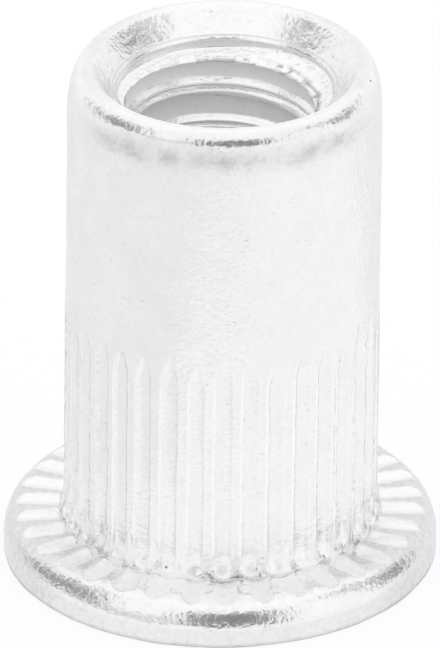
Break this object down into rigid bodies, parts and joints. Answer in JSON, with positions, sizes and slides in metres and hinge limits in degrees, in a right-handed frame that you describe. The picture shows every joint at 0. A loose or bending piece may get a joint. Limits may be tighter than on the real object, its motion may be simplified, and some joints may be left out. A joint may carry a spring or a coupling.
{
  "type": "rivet nut",
  "caption": "Flat-flange rivet nut: a blind threaded sleeve with a straight-knurled shank, an open countersunk threaded end and a serrated flange.",
  "frame": {"origin": "centre of the flange's outer face, on which the nut stands", "axes": "+Z along the nut's axis from the flange towards the threaded end; +X through the middle of one flute of the knurl"},
  "size_m": [0.0125, 0.0124, 0.0156],
  "materials": {
    "zinc_plated_steel": "bright zinc plating, finely pitted"
  },
  "bodies": {
    "root": {"rivet_nut": "zinc_plated_steel"}
  },
  "joints": []
}
